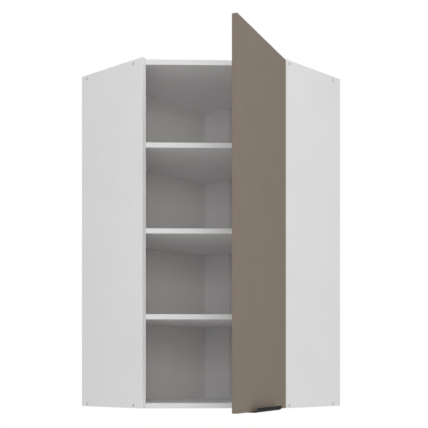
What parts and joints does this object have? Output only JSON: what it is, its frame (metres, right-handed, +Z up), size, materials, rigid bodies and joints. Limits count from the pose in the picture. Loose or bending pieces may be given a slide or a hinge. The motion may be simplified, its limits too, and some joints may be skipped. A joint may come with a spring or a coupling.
{
  "type": "corner wall cabinet",
  "caption": "Tall corner wall cabinet with a diagonal front, fixed shelves and one flat hinged door with an edge pull.",
  "frame": {"origin": "the room corner, where both wall planes meet the plane of the cabinet's underside", "axes": "+Z up, +Y towards the room corner, so the diagonal front faces -Y; +X to the right as seen from the room. The door is stored open at 66.2 degrees."},
  "size_m": [0.8486, 1.0221, 1.0773],
  "materials": {
    "white_board": "satin white melamine on chipboard",
    "white_band": "satin white edge band",
    "back_panel": "white lacquered fibreboard",
    "zinc_steel": "bright zinc plated",
    "nickel_steel": "nickel plated",
    "cap_plastic": "light grey cover cap",
    "hanger_plastic": "white moulded plastic",
    "door_board": "matt taupe laminate on chipboard",
    "door_band": "matt taupe edge band",
    "handle_metal": "matt black coated aluminium",
    "handle_screw_metal": "black screws"
  },
  "bodies": {
    "cabinet": {"left_side": "white_board", "right_side": "white_board", "side_edge_bands": "white_band", "top_panel": "white_board", "bottom_panel": "white_board", "panel_edge_bands": "white_band", "lower_shelf": "white_board", "middle_shelf": "white_board", "upper_shelf": "white_board", "shelf_edge_bands": "white_band", "corner_strip": "white_board", "left_back": "back_panel", "right_back": "back_panel", "back_nails": "zinc_steel", "carcass_screws": "zinc_steel", "strip_screws": "zinc_steel", "screw_caps": "cap_plastic", "shelf_pins": "zinc_steel", "hanger_housings": "hanger_plastic", "hanger_hooks": "zinc_steel", "hanger_screws": "zinc_steel", "hinge_plates": "nickel_steel", "hinge_plate_screws": "zinc_steel", "hinge_arms": "nickel_steel", "hinge_arm_screws": "zinc_steel", "hinge_arm_pins": "nickel_steel"},
    "door": {"door_panel": "door_board", "door_edge_bands": "door_band", "hinge_cups": "nickel_steel", "hinge_cup_pins": "nickel_steel", "hinge_cup_screws": "zinc_steel", "handle": "handle_metal", "handle_screws": "handle_screw_metal"},
    "inner_links": {"hinge_inner_links": "nickel_steel", "hinge_link_pins": "nickel_steel"},
    "outer_links": {"hinge_outer_links": "nickel_steel"}
  },
  "joints": [
    {"name": "door_hinge", "type": "hinge", "parent": "cabinet", "child": "door", "pos_m": [0.21, -0.63239, 0], "axis": [0, 0, 1], "range_deg": [-66.2, 28.8]},
    {"name": "inner_link_pivot", "type": "hinge", "parent": "cabinet", "child": "inner_links", "pos_m": [0.1962, -0.62809, 0], "axis": [0, 0, 1], "range_deg": [-66.2, 28.8]},
    {"name": "outer_link_pivot", "type": "hinge", "parent": "door", "child": "outer_links", "pos_m": [0.20145, -0.65004, 0], "axis": [0, 0, 1], "range_deg": [-28.8, 66.2]}
  ],
  "couplings": [
    {"joint": "inner_link_pivot", "follows": "door_hinge", "ratio": 1},
    {"joint": "outer_link_pivot", "follows": "door_hinge", "ratio": -1}
  ]
}
